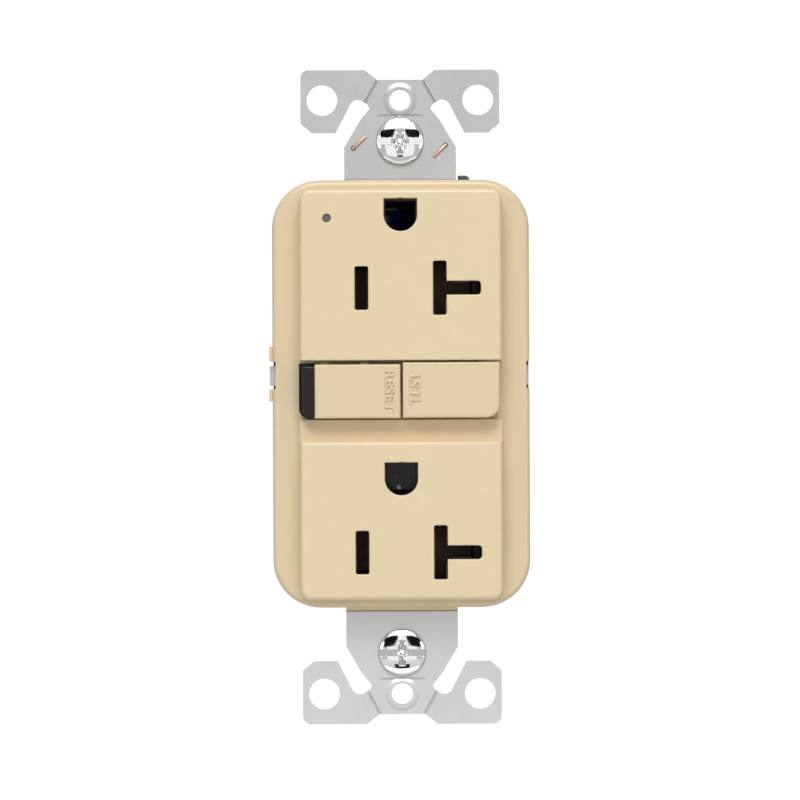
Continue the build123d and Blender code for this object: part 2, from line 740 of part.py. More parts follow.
def build_latch():
    with BuildPart() as block:
        with BuildSketch(at(18.6)):
            with Locations((PIN_X, PIN_Z)):
                RectangleRounded(9.4, 10.0, 0.8)
        extrude(amount=5.0)
        # wings that push the two arms
        with BuildSketch(at(13.4)):
            with Locations((0, 1.2)):
                Rectangle(23.6, 4.0)
            with Locations((PIN_X, PIN_Z)):
                Rectangle(9.4, 8.0)
        extrude(amount=1.6)
        with BuildSketch(at(15.0)):
            with Locations((0, 1.2)):
                Rectangle(23.6, 1.4)
        extrude(amount=2.0)
        with BuildSketch(at(18.6)):
            with Locations((PIN_X, PIN_Z)):
                Circle(2.3)
        extrude(amount=8.0, mode=Mode.SUBTRACT)
        # slot for the latch plate
        with BuildSketch(at(PLATE_Y + 0.6)):
            with Locations((PIN_X, PIN_Z)):
                Rectangle(7.2, 12.0)
        extrude(amount=1.2, mode=Mode.SUBTRACT)
    save(block, "latch_block")
    with BuildPart() as plate:
        with BuildSketch(at(PLATE_Y + 0.4)):
            with Locations((PIN_X, PIN_Z + 1.1)):
                RectangleRounded(6.6, 11.2, 0.6)
            with Locations((PIN_X, PIN_Z + 1.4)):
                SlotCenterToCenter(1.4, 3.8, rotation=90, mode=Mode.SUBTRACT)
        extrude(amount=0.8)
    save(plate, "latch_plate")


def build_solenoid():
    axis_y = PLATE_Y
    low = 10.6
    high = 25.4
    ring = Plane.XY.offset(low)
    with BuildPart() as bobbin:
        with BuildSketch(ring):
            with Locations((PIN_X, axis_y)):
                Circle(2.6)
        extrude(amount=high - low)
        with BuildSketch(ring):
            with Locations((PIN_X, axis_y)):
                RectangleRounded(10.2, 10.0, 1.0)
        extrude(amount=0.9)
        with BuildSketch(Plane.XY.offset(high - 0.9)):
            with Locations((PIN_X, axis_y)):
                RectangleRounded(10.2, 10.0, 1.0)
        extrude(amount=0.9)
        with BuildSketch(ring):
            with Locations((PIN_X, axis_y)):
                Circle(1.75)
        extrude(amount=high - low, mode=Mode.SUBTRACT)
    save(bobbin, "solenoid_bobbin")
    with BuildPart() as coil:
        with BuildSketch(Plane.XY.offset(low + 0.9)):
            with Locations((PIN_X, axis_y)):
                Circle(4.7)
                Circle(2.6, mode=Mode.SUBTRACT)
        extrude(amount=high - low - 1.8)
    save(coil, "solenoid_coil")
    with BuildPart() as frame:
        # U-shaped steel yoke around the coil
        with BuildSketch(Plane.YZ.offset(PIN_X - 3.6)):
            with Locations((axis_y, (low + high) / 2)):
                Rectangle(12.4, high - low + 2.0)
                Rectangle(10.4, high - low, mode=Mode.SUBTRACT)
            with Locations((axis_y - 6.2, (low + high) / 2)):
                Rectangle(2.0, high - low + 2.0, mode=Mode.SUBTRACT)
        extrude(amount=7.2)
        with BuildSketch(Plane.XY.offset(low - 1.5)):
            with Locations((PIN_X, axis_y)):
                Circle(1.85)
        extrude(amount=2.0, mode=Mode.SUBTRACT)
    save(frame, "solenoid_frame")
    with BuildPart() as plunger:
        with BuildSketch(Plane.XY.offset(8.0)):
            with Locations((PIN_X, axis_y)):
                Circle(1.2)
        extrude(amount=4.0)
        with BuildSketch(Plane.XY.offset(12.0)):
            with Locations((PIN_X, axis_y)):
                Circle(1.68)
        extrude(amount=10.0)
        chamfer(plunger.faces().sort_by(Axis.Z)[-1].edges(), length=0.3)
    save(plunger, "solenoid_plunger")


def build_test_blade():
    with BuildPart() as blade:
        with BuildSketch(at(4.9)):
            with Locations((TEST_X, -4.6)):
                RectangleRounded(3.4, 14.4, 0.8)
        extrude(amount=0.4)
        # bead across the root, where the blade bends
        with BuildSketch(side(TEST_X - 1.7)):
            with Locations((4.7, -11.4)):
                Circle(0.29)
        extrude(amount=3.4)
        with BuildSketch(at(4.9)):
            with Locations((TEST_X, -9.2)):
                Rectangle(1.2, 3.0)
        extrude(amount=0.4, mode=Mode.SUBTRACT)
    save(blade, "test_blade")


# -------------------------------------------------------------- electronics
def build_board():
    board_front = 22.2
    with BuildPart() as board:
        with BuildSketch(at(board_front + 1.6)):
            with Locations((-6.0, 0.4)):
                RectangleRounded(12.4, 62.0, 1.0)
            with Locations((3.0, -6.0)):
                RectangleRounded(19.0, 49.0, 1.0)
            with Locations((PIN_X, PIN_Z)):
                Circle(3.0, mode=Mode.SUBTRACT)
        extrude(amount=1.6)
    save(board, "circuit_board")
    with BuildPart() as case:
        # cup around both cores with a sleeve through the middle
        with BuildSketch(at(board_front)):
            with Locations((0, -23.6)):
                Circle(8.2)
        extrude(amount=9.2)
        with BuildSketch(at(board_front)):
            with Locations((0, -23.6)):
                Circle(7.4)
                Circle(3.7, mode=Mode.SUBTRACT)
        extrude(amount=8.4, mode=Mode.SUBTRACT)
        with BuildSketch(at(board_front)):
            with Locations((0, -23.6)):
                Circle(2.9)
        extrude(amount=10, mode=Mode.SUBTRACT)
    save(case, "transformer_case")
    for name, back in (("neutral_transformer_core", 21.9), ("sense_transformer_core", 17.8)):
        with BuildPart() as core:
            with BuildSketch(at(back)):
                with Locations((0, -23.6)):
                    Circle(7.2)
                    Circle(3.9, mode=Mode.SUBTRACT)
            extrude(amount=3.7)
            fillet(core.edges(), radius=0.6)
        save(core, name)
    with BuildPart() as varistor:
        with BuildSketch(Plane.XY.offset(27.4)):
            with Locations((-2.6, 17.2)):
                Circle(4.2)
        extrude(amount=3.4)
        fillet(varistor.edges(), radius=0.9)
        with BuildSketch(at(board_front)):
            with Locations((-4.8, 29.1), (-0.6, 29.1)):
                Circle(0.35)
        extrude(amount=4.0)
    save(varistor, "varistor")
    slab("filter_capacitor", 2.4, 6.6, 10.2, 21.4, 14.6, board_front, 0.4, 0.0)
    with BuildPart() as chip:
        with BuildSketch(at(board_front - 0.4)):
            with Locations((8.4, -4.6)):
                Rectangle(4.0, 6.2)
        extrude(amount=1.8)
        for row in range(4):
            with BuildSketch(at(board_front)):
                with Locations((8.4, -4.6 + (row - 1.5) * 1.27)):
                    Rectangle(6.2, 0.45)
            extrude(amount=0.9)
    save(chip, "control_chip")
    with BuildPart() as thyristor:
        with BuildSketch(at(board_front - 2.0)):
            with Locations((9.4, 5.2)):
                Circle(2.3)
            with Locations((9.4, 7.4)):
                Rectangle(6.0, 1.6, mode=Mode.SUBTRACT)
        extrude(amount=4.4)
        with BuildSketch(at(board_front)):
            with Locations((8.1, 5.2), (9.4, 5.2), (10.7, 5.2)):
                Rectangle(0.4, 0.4)
        extrude(amount=2.0)
    save(thyristor, "thyristor")
    with BuildPart() as resistors:
        for z in (-11.0, -8.6, -6.2, -3.8):
            with BuildSketch(Plane.YZ.offset(-11.0)):
                with Locations((board_front - 1.0, z)):
                    Circle(0.9)
            extrude(amount=5.0)
            with BuildSketch(at(board_front)):
                with Locations((-10.5, z), (-6.5, z)):
                    Circle(0.3)
            extrude(amount=0.6)
    save(resistors, "resistors")
    with BuildPart() as led:
        with BuildSketch(at(board_front)):
            with Locations((LED_X + 0.6, LED_Z)):
                Circle(1.5)
        extrude(amount=3.2)
        fillet(led.faces().sort_by(Axis.Y)[0].edges(), radius=1.2)
    save(led, "status_led")
    with BuildPart() as pipe:
        with BuildSketch(at(18.6)):
            with Locations((LED_X, LED_Z)):
                Circle(0.6)
        extrude(amount=27.2)
        with BuildSketch(at(-5.2)):
            with Locations((LED_X, LED_Z)):
                Circle(1.2)
        extrude(amount=1.2)
    save(pipe, "light_pipe")


# ------------------------------------------------------------------ screws
def build_screws():
    for name, flip in (("upper", 1), ("lower", -1)):
        z = flip * BOX_SCREW_Z
        with BuildPart() as screw:
            with BuildSketch(at(-0.9)):
                with Locations((0, z)):
                    Circle(3.8)
            extrude(amount=1.6)
            fillet(screw.faces().sort_by(Axis.Y)[0].edges(), radius=1.1)
            # slot and cross recess
            with BuildSketch(at(-2.5)):
                with Locations((0, z)):
                    Rectangle(8.0, 1.15)
                    Rectangle(1.15, 4.0)
            extrude(amount=-0.9, mode=Mode.SUBTRACT)
            with BuildSketch(at(-0.9)):
                with Locations((0, z)):
                    Circle(1.7525)
            extrude(amount=-18.0)
            chamfer(screw.faces().sort_by(Axis.Y)[-1].edges(), length=0.5)
        save(screw, f"mounting_screw_{name}")
        with BuildPart() as washer:
            with BuildSketch(at(2.3)):
                with Locations((0, z)):
                    RectangleRounded(8.0, 6.0, 0.8)
                    Circle(1.82, mode=Mode.SUBTRACT)
            extrude(amount=0.8)
        save(washer, f"retaining_washer_{name}")
    with BuildPart() as ground:
        with BuildSketch(side(9.45)):
            with Locations((5.2, 31.9)):
                Circle(4.35)
        extrude(amount=1.9)
        fillet(ground.faces().sort_by(Axis.X)[-1].edges(), radius=0.7)
        with BuildSketch(side(11.35)):
            with Locations((5.2, 31.9)):
                Rectangle(8.8, 1.1)
                Rectangle(1.1, 4.4)
        extrude(amount=-0.9, mode=Mode.SUBTRACT)
        with BuildSketch(side(9.45)):
            with Locations((5.2, 31.9)):
                Circle(1.88)
        extrude(amount=-1.75)
    save(ground, "ground_screw")
    with BuildPart() as screws:
        with BuildSketch(at(-2.8)):
            with Locations(*ASSEMBLY_SCREWS):
                Circle(1.2)
        extrude(amount=-26.7)
        with BuildSketch(at(25.4)):
            with Locations(*ASSEMBLY_SCREWS):
                Circle(2.1)
        extrude(amount=1.5)
        with BuildSketch(at(25.4)):
            with Locations(*ASSEMBLY_SCREWS):
                Rectangle(2.4, 0.6)
                Rectangle(0.6, 2.4)
        extrude(amount=0.8, mode=Mode.SUBTRACT)
    save(screws, "assembly_screws")
    # self-grounding clip: two wire ends lie on the neck and a leaf joins them behind it
    with BuildPart() as clip:
        for (x, z), (along_x, along_z) in zip(WIRE_ENDS, ((1.9, 1.85), (-1.9, -1.8))):
            with BuildSketch(Plane(origin=(x, -STRAP_T - 0.25, z), z_dir=(along_x, 0, along_z))):
                Circle(0.25)
            extrude(amount=2.7)
            with BuildSketch(at(0.5)):
                with Locations((x, z)):
                    Circle(0.25)
            extrude(amount=STRAP_T + 0.75)
        with BuildSketch(at(0.5)):
            with Locations((-0.1, 39.0)):
                Rectangle(16.4, 5.4)
            with Locations((-0.1, 41.0)):
                Rectangle(9.4, 5.4, mode=Mode.SUBTRACT)
        extrude(amount=0.5)
    save(clip, "auto_ground_clip")


build_strap()
build_front_cover()
build_rear_cover()
build_carrier()
build_ground_contacts()
build_face_contacts()
build_arms()
build_terminals()
build_buttons()
build_reset_pin()
build_spring("reset_spring", 1.55, 0.22, 6, (PIN_X, -1.6, PIN_Z), 7.2, (0, 1, 0))
build_latch()
build_solenoid()
build_spring("plunger_spring", 1.3, 0.18, 4, (PIN_X, PLATE_Y, 22.3), 2.8, (0, 0, 1))
build_test_blade()
build_board()
build_screws()
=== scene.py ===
"""Duplex ground-fault outlet: finishes, fine pieces and a small studio, laid out as an add-on."""
import math

import bmesh
import bpy
from bpy.props import FloatProperty, FloatVectorProperty, IntProperty, PointerProperty
from mathutils import Matrix, Vector


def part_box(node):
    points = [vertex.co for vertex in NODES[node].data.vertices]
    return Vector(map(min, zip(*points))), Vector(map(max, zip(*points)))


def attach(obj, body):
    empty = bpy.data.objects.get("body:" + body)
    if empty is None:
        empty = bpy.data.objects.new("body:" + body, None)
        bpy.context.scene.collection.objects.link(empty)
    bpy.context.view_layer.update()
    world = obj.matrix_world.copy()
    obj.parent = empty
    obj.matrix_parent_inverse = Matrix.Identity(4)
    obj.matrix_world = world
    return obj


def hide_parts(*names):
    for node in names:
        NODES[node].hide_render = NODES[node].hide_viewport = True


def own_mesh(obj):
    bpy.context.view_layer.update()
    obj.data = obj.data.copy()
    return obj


bl_info = {
    "name": "Ground-fault outlet workshop",
    "version": (1, 0, 0),
    "blender": (4, 5, 0),
    "location": "3D View > Sidebar > Outlet",
    "description": "Dresses a duplex ground-fault outlet in its finishes and sets up a studio",
    "category": "Object",
}

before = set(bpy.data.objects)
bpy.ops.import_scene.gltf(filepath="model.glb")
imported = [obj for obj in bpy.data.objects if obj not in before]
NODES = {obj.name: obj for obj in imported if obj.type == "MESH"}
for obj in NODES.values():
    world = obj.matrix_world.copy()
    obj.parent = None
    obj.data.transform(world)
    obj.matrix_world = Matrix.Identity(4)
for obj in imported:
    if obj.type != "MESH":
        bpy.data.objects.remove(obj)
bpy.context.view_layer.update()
MM = 0.001

# Lengths are in metres and angles in degrees, except where a comment says otherwise.
# Rounded rims
RIM_STEPS = 3
RIM_ANGLE = 32.0
SCREW_RIM_ANGLE = 40.0
EVEN_WEIGHT = 60
WELD_REACH = 0.000002

# Mounting strap: painted shade lines across the necks as (height, half length), painted shadow
# lines along the cover's edges, and their look
FOLDS = ((0.0459, 0.0041), (-0.0459, 0.0041))
FOLD_SHADE_HALF_WIDTH = 0.00022
FOLD_SHADE_STRENGTH = 0.35
EDGE_SHADOW_HALF_WIDTH = 0.00034
EDGE_SHADOW_STRENGTH_BOTTOM, EDGE_SHADOW_STRENGTH_TOP = 0.8, 0.3
PAINTED_SHADE_COLOUR = (0.05, 0.048, 0.042)

# Button words: text, body, low and high corner of the box in x and z in millimetres, turn
WORDS = (
    ("RESET", "reset", (-2.65, -2.4), (-1.0, 4.4), -90),
    ("TEST", "test", (1.35, -1.25), (3.2, 4.2), 90),
)
LETTER_EXTRUDE, LETTER_OFFSET, LETTER_BEVEL = 0.03, -0.02, 0.05
LETTER_ROOT = 0.00005
# Depth behind the words' front from which the letters are painted darker, a painted shade at their
# roots
LETTER_SHADE_START = 0.00018

# Box screw, with its depths counted from the top of the head
HEAD_HEIGHT = 0.0016
DOME_STEPS = 8
DOME_SHARE, DOME_DEPTH, DOME_POWER = 0.97, 0.0005, 2.4
HEAD_RIM_DEPTH = 0.00075
SEAT_CORNER = (0.00012, 0.0001)
SLOT_REACH, SLOT_DEPTH, SLOT_HALF_WIDTH, SLOT_ABOVE = 0.005, 0.0007, 0.00058, 0.001
CROSS_DEPTH, CROSS_ABOVE = 0.0015, 0.0002
CROSS_MOUTH, CROSS_FLOOR = (0.00205, 0.00052), (0.0007, 0.00022)
CROSS_FLARE = (1.15, 1.2)
THREAD_OUTER, THREAD_INNER, THREAD_OVERLAP = 0.00175, 0.00139, 0.0002
THREAD_STEPS, THREAD_ROWS, RUN_OUT_ROWS = 28, 8, 10.0
THREAD_CREST, TIP_SHARE = 1.15, 0.75

# Resistor rings: place along the body, colour
RING_WIDTH = 0.09
RINGS = (
    (0.2, (0.25, 0.05, 0.01)), (0.38, (0.02, 0.02, 0.02)),
    (0.56, (0.6, 0.05, 0.02)), (0.78, (0.6, 0.42, 0.1)),
)

# Studio. A card is turn, lift, width and height, all as angles seen from the outlet, and its paint.
FLOOR_PLACE, FLOOR_RADIUS, FLOOR_STEPS = (0, 0.01, -0.088), 0.24, 128
SKY_STRENGTH = 0.34
RAY_STRENGTHS = (("Is Glossy Ray", 0.62), ("Is Camera Ray", 1.05))
CARD_REACH = 0.9
CARDS = (
    (-20.5, 13, 27, 18, "black"), (20.5, 13, 27, 18, "black"),
    (0, -16, 8, 4, "black"), (0, 0, 12, 12, "grey"),
    (0, 31, 46, 18, "bright"), (0, -33, 70, 12, "bright"),
    (38, 4, 16, 20, "bright"), (-38, 4, 16, 20, "bright"),
)
# Two more cards close to the lower box screw, each with a name first and its distance last
LOW_CARDS = (
    ("low_card", 0, -22, 22, 8, "black", 0.09),
    ("low_glow", 0, -33, 60, 12, "bright", 0.08),
)
# The lens and the sensor are in millimetres.
CAMERA_LENS, CAMERA_SENSOR, CAMERA_CLIP = 315.0, 36.0, (0.01, 20.0)
CAMERA_PLACE, CAMERA_ROLL = (-0.00018, -1.1422, -0.0005), 0.25


# ------------------------------------------------------------ shader language
class Wire:
    """An output of a material's node tree that can stand in a sum, difference or product."""

    def __init__(self, paint, socket):
        self.paint = paint
        self.socket = socket

    def _math(self, operation, *values):
        node = self.paint.node(
            "ShaderNodeMath", {"operation": operation}, dict(enumerate(values)))
        return Wire(self.paint, node.outputs[0])

    def __add__(self, other):
        return self._math("ADD", self, other)

    def __radd__(self, other):
        return self._math("ADD", other, self)

    def __sub__(self, other):
        return self._math("SUBTRACT", self, other)

    def __rsub__(self, other):
        return self._math("SUBTRACT", other, self)

    def __mul__(self, other):
        return self._math("MULTIPLY", self, other)

    def sine(self):
        return self._math("SINE", self)

    def most(self, other):
        return self._math("MAXIMUM", self, other)

    def over(self, edge):
        """One above the edge and nil below it."""
        return self._math("GREATER_THAN", self, edge)

    def within(self, low=0.0, high=1.0):
        """Held between two values."""
        return self._math("MINIMUM", self.most(low), high)

    def swing(self, amount):
        """A noise moved to vary around nil, and scaled."""
        return (self - 0.5) * amount

    def size(self):
        """The value without its sign."""
        return self.most(self * -1.0)

    def under(self, edge, steepness):
        """Nil above the edge, rising to one below it."""
        return ((edge - self) * steepness).within()


class Paint:
    """One material under construction."""

    def __init__(self, name, **constants):
        self.material = bpy.data.materials.new(name)
        self.material.use_nodes = True
        self.tree = self.material.node_tree
        self.shader = self.tree.nodes["Principled BSDF"]
        for key, value in constants.items():
            self.shader.inputs[key.replace("_", " ")].default_value = value

    def join(self, value, socket):
        """Links a wire to a socket, or sets the socket to a plain value."""
        if isinstance(value, Wire):
            self.tree.links.new(value.socket, socket)
        else:
            socket.default_value = value

    def node(self, kind, settings, sockets):
        """A node of this type, with its settings first and then its sockets."""
        made = self.tree.nodes.new(kind)
        for key, value in settings.items():
            setattr(made, key, value)
        for key, value in sockets.items():
            self.join(value, made.inputs[key])
        return made

    def feed(self, name, value):
        self.join(value, self.shader.inputs[name])

    def place(self, stretch=(1, 1, 1), turn=(0, 0, 0)):
        """Position in the object's own frame, stretched and turned."""
        spot = self.node("ShaderNodeTexCoord", {}, {})
        turned = self.node(
            "ShaderNodeMapping", {},
            {"Vector": Wire(self, spot.outputs["Object"]), "Scale": stretch, "Rotation": turn},
        )
        return Wire(self, turned.outputs[0])

    def axis(self, which):
        split = self.node("ShaderNodeSeparateXYZ", {}, {0: self.place()})
        return Wire(self, split.outputs[which])

    def noise(self, scale, detail=2.0, rough=0.5, stretch=(1, 1, 1)):
        made = self.node(
            "ShaderNodeTexNoise", {},
            {"Vector": self.place(stretch), "Scale": scale, "Detail": detail, "Roughness": rough},
        )
        return Wire(self, made.outputs[0])

    def cells(self, scale):
        made = self.node("ShaderNodeTexVoronoi", {}, {"Vector": self.place(), "Scale": scale})
        return Wire(self, made.outputs[0])

    def blend(self, amount, first, second):
        """A colour between two colours."""
        first, second = (
            value if isinstance(value, Wire) else (*value, 1.0) for value in (first, second))
        made = self.node("ShaderNodeMix", {"data_type": "RGBA"}, {0: amount, 6: first, 7: second})
        return Wire(self, made.outputs[2])

    def tones(self, amount, colour, dark, pale):
        """A colour between a darker and a paler shade of one colour."""
        return self.blend(amount, shade(colour, dark), shade(colour, pale))

    def done(self, base, roughness, height=None, depth=None):
        """Connects colour, roughness and, where given, relief, and hands over the material."""
        self.feed("Base Color", base)
        self.feed("Roughness", roughness)
        if height is not None:
            bump = self.node(
                "ShaderNodeBump", {}, {"Strength": 1.0, "Distance": depth, "Height": height})
            self.feed("Normal", Wire(self, bump.outputs[0]))
        return self.material


def shade(colour, factor):
    return tuple(min(1.0, channel * factor) for channel in colour)


def moulded(name, colour, gloss, speckle=0.03, grain=0.000006, coat=0.0, soft=0.0, index=1.5,
            low=None):
    """Injection-moulded plastic: faint flow marks, an eggshell skin and a little handling sheen.

    soft is the share of light that scatters under the skin. low is (depth, factor): surfaces
    further back than this depth are painted darker by the factor, a painted shade where less
    light reaches them."""
    paint = Paint(name, Coat_Weight=coat, Coat_Roughness=0.12, IOR=index)
    if soft:
        paint.shader.inputs["Subsurface Weight"].default_value = soft
        paint.shader.inputs["Subsurface Radius"].default_value = (1.0, 0.6, 0.35)
        paint.shader.inputs["Subsurface Scale"].default_value = 0.0006
    flow = paint.noise(38.0, detail=3.0, rough=0.55, stretch=(1.0, 1.0, 0.45))
    mottle = paint.noise(420.0, rough=0.6)
    tone = (flow.swing(1.1) + mottle.swing(0.5) + 0.5).within()
    base = paint.tones(tone, colour, 1.0 - speckle, 1.0 + speckle)
    if low:
        depth, factor = low
        # painted shade: surfaces further back than the depth are mixed towards the darker shade
        painted_back_shade = ((paint.axis(1) - depth) * 4000.0 + flow * 0.4).within()
        base = paint.blend(painted_back_shade, base, shade(colour, factor))
    wipe = paint.noise(90.0, detail=4.0, rough=0.6, stretch=(1.0, 1.0, 2.6))
    skin = paint.noise(5200.0, detail=1.0) * 0.7 + paint.noise(1500.0) * 0.5
    return paint.done(base, (gloss + wipe.swing(0.14)).within(0.05, 0.95), skin, grain)


def rolled_sheet(paint, brush):
    """The two noises every rolled metal shares: its grain and its cloudiness."""
    grain = paint.noise(2600.0, detail=3.0, rough=0.6, stretch=brush)
    return grain, paint.noise(70.0, detail=4.0, rough=0.6)


def plated(name, colour, gloss, spangle, brush, grain=0.000004, metal=1.0):
    """Rolled and plated sheet: a grain along the rolling direction, soft spangles, dull patches."""
    paint = Paint(name, Metallic=metal)
    rolled, cloud = rolled_sheet(paint, brush)
    flakes = paint.cells(900.0)
    tone = (rolled.swing(0.7) + flakes.swing(0.35) + cloud.swing(0.8) + 0.5).within()
    base = paint.tones(tone, colour, 1.0 - spangle * 1.6, 1.0 + spangle)
    rough = (gloss + cloud.swing(0.16) + rolled.swing(0.1)).within(0.04, 0.9)
    return paint.done(base, rough, rolled * 0.8 + flakes * 0.3, grain)


def strap_plate(name, colour, folds, edge_shadows):
    """Zinc-plated strap: brushed along its length, with painted shade darker towards the top and
    painted shade lines.

    folds are (height, half length) of the painted shade lines across the necks, seams are
    (height, strength) of the painted shadow lines along the cover's edges."""
    paint = Paint(name, Metallic=0.85)
    rolled, cloud = rolled_sheet(paint, (1, 1, 0.12))
    blot = paint.noise(260.0, detail=3.0, rough=0.55)
    up = paint.axis(2)
    side = paint.axis(0).size()
    tone = (rolled.swing(0.7) + blot.swing(0.5) + cloud.swing(0.8) + 0.5).within()
    # painted shade: the strap is darker towards the top, standing in for how the light falls on it
    fade = (up * -9.0 + 0.5).within()
    dark_tone_with_painted_shade = paint.tones(fade, colour, 0.71, 0.97)
    pale_tone_with_painted_shade = paint.tones(fade, colour, 0.79, 1.08)
    shade_marks = []
    # painted shade in the creases of the folds across the necks
    for height, half in folds:
        across = (up - height).size().under(FOLD_SHADE_HALF_WIDTH, 9000.0)
        shade_marks.append(across * side.under(half, 1200.0) * FOLD_SHADE_STRENGTH)
    # painted shadow cast by the cover's edges onto the strap
    for height, strength in edge_shadows:
        shade_marks.append((up - height).size().under(EDGE_SHADOW_HALF_WIDTH, 5000.0) * strength)
    # lines gathers the painted shade and painted shadow lines
    lines = shade_marks[0]
    for mark in shade_marks[1:]:
        lines = lines.most(mark)
    base = paint.blend(lines, paint.blend(tone, dark_tone_with_painted_shade, pale_tone_with_painted_shade), PAINTED_SHADE_COLOUR)
    rough = (0.42 + cloud.swing(0.16) + rolled.swing(0.1)).within(0.04, 0.9)
    return paint.done(base, rough, rolled * 0.8 + blot * 0.3 - lines * 1.5, 0.000004)


def lit_card(name, strength):
    """Softly uneven white card that lights nothing but reflections."""
    paint = Paint(name, Emission_Strength=strength)
    paint.feed("Emission Color", paint.tones(paint.noise(6.0), (1.0, 1.0, 1.0), 0.97, 1.0))
    return paint.material


def sintered(name, colour):
    """Dark pressed ferrite with tiny pits."""
    paint = Paint(name)
    tone = paint.noise(500.0, detail=4.0, rough=0.7)
    base = paint.tones(tone, colour, 0.6, 1.8)
    return paint.done(base, 0.55 + tone.swing(0.25), paint.cells(2800.0), 0.00003)


def fibre_sheet(name, colour):
    """Pressed fibre with long strands."""
    paint = Paint(name)
    strands, crossing = (
        paint.noise(900.0, detail=5.0, rough=0.7, stretch=way) for way in ((1, 1, 6), (6, 1, 1)))
    tone = (strands * 0.5 + crossing * 0.5).within()
    return paint.done(paint.tones(tone, colour, 0.55, 1.5), 0.7 + tone.swing(0.3), tone, 0.00004)


def winding(name, colour):
    """Enamelled wire, wound turn beside turn around an upright axis."""
    paint = Paint(name, Metallic=0.9, Coat_Weight=0.6, Coat_Roughness=0.15)
    wire_thickness = 0.00028
    # The base colour darkens between the turns: painted shade in the grooves between the round
    # wires.
    turns = (paint.axis(2) * (2 * math.pi / wire_thickness)).sine() * 0.5 + 0.5
    uneven = paint.noise(350.0, detail=3.0, rough=0.6)
    tone = (turns * 0.7 + uneven * 0.4).within()
    base = paint.tones(tone, colour, 0.35, 1.25)
    return paint.done(base, 0.22 + uneven.swing(0.2), turns, 0.00008)


def solder_board(name, colour):
    """Circuit board: solder mask over tracks, with bright pads."""
    paint = Paint(name, Coat_Weight=0.7, Coat_Roughness=0.1)
    tracks = paint.node("ShaderNodeTexBrick", {"offset": 0.5}, {
        "Vector": paint.place(turn=(math.pi / 2, 0, 0)),
        "Color1": (0, 0, 0, 1), "Color2": (0.25, 0.25, 0.25, 1), "Mortar": (1, 1, 1, 1),
        "Scale": 200.0, "Mortar Size": 0.06, "Brick Width": 0.9, "Row Height": 0.35,
    })
    lines = Wire(paint, tracks.outputs[1])
    bright = (0.16 - paint.cells(420.0)).over(0.0)
    cloud = paint.noise(300.0, detail=3.0, rough=0.6)
    mask = paint.tones((lines * 0.6 + cloud * 0.3).within(), colour, 0.7, 1.9)
    paint.feed("Metallic", bright * 0.9)
    base = paint.blend(bright, mask, (0.62, 0.6, 0.55))
    return paint.done(base, 0.3 + cloud.swing(0.2), lines * 0.6 + bright * 0.4, 0.00003)


def banded(name, colour, bands):
    """Lacquered resistor bodies with colour rings along X."""
    paint = Paint(name, Coat_Weight=0.5, Coat_Roughness=0.2)
    along = (paint.axis(0) + 0.011) * 200.0
    body = paint.tones(paint.noise(600.0), colour, 0.85, 1.1)
    for place, ring in bands:
        mask = (along - place).over(0.0) * (place + RING_WIDTH - along).over(0.0)
        body = paint.blend(mask, body, ring)
    return paint.done(body, 0.35 + paint.noise(500.0).swing(0.2), paint.noise(1800.0), 0.00001)


def clear(name, tint):
    """Clear moulding with faint haze."""
    paint = Paint(name, Transmission_Weight=0.85, IOR=1.49)
    haze = paint.noise(700.0, detail=3.0, rough=0.6)
    return paint.done(paint.tones(haze, tint, 0.9, 1.0), 0.08 + haze * 0.12, haze, 0.000004)


def floor_paint(name, colour):
    """Matt, almost even floor."""
    paint = Paint(name)
    cloud = paint.noise(9.0, detail=3.0)
    return paint.done(paint.tones(cloud, colour, 0.99, 1.01), 0.7 + cloud.swing(0.1))


# ------------------------------------------------------------------ mesh tools
def linked(name, data):
    """A new object in the scene."""
    thing = bpy.data.objects.new(name, data)
    bpy.context.scene.collection.objects.link(thing)
    return thing


def filled(name, maker):
    """A mesh that maker draws into, with its faces turned outwards."""
    mesh = bpy.data.meshes.new(name)
    shape = bmesh.new()
    maker(shape)
    bmesh.ops.recalc_face_normals(shape, faces=shape.faces)
    shape.to_mesh(mesh)
    shape.free()
    return mesh


def round_rims(thing, rim, angle):
    """Rounds the rims of a piece that are sharper than an angle. rim is in millimetres."""
    edge = thing.modifiers.new("rim", "BEVEL")
    edge.width = rim * MM
    edge.segments = RIM_STEPS
    edge.limit_method = "ANGLE"
    edge.angle_limit = math.radians(angle)
    return edge


def even_shading(thing):
    """Lets the broad faces of a piece decide how its rims are shaded."""
    thing.modifiers.new("even", "WEIGHTED_NORMAL").weight = EVEN_WEIGHT


def dress(name, material, rim=0.0, flat=False):
    """Gives a carried-over node its finish and, where asked, small rounded rims.

    rim is in millimetres. flat keeps the broad faces of sheet metal evenly lit."""
    thing = NODES[name]
    if not thing.material_slots:
        thing.data.materials.append(material)
    for holder in thing.material_slots:
        holder.material = material
    if rim > 0:
        thing.modifiers.new("weld", "WELD").merge_threshold = WELD_REACH
        round_rims(thing, rim, RIM_ANGLE).harden_normals = flat
        if not flat:
            even_shading(thing)


def piece_from(name, mesh_maker, material, body):
    """A new piece from a bmesh that mesh_maker fills, riding on a body."""
    thing = linked(name, filled(name, mesh_maker))
    thing.data.materials.append(material)
    for face in thing.data.polygons:
        face.use_smooth = True
    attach(thing, body)
    return thing


def join_rings(shape, rings, steps):
    """Faces between neighbouring rings, where a ring may be a single point."""
    for low, high in zip(rings, rings[1:]):
        for i in range(steps):
            j = (i + 1) % steps
            if len(low) == 1:
                shape.faces.new((low[0], high[i], high[j]))
            elif len(high) == 1:
                shape.faces.new((low[i], high[0], low[j]))
            else:
                shape.faces.new((low[i], low[j], high[j], high[i]))


def revolve(shape, profile, steps, place):
    """Closed solid of revolution about local Z.

    profile runs from axis to axis as (radius, height)."""
    rings = []
    for radius, height in profile:
        if radius <= 1e-9:
            rings.append([shape.verts.new(place @ Vector((0, 0, height)))])
        else:
            rings.append([
                shape.verts.new(place @ Vector((
                    radius * math.cos(2 * math.pi * i / steps),
                    radius * math.sin(2 * math.pi * i / steps), height,
                )))
                for i in range(steps)
            ])
    join_rings(shape, rings, steps)


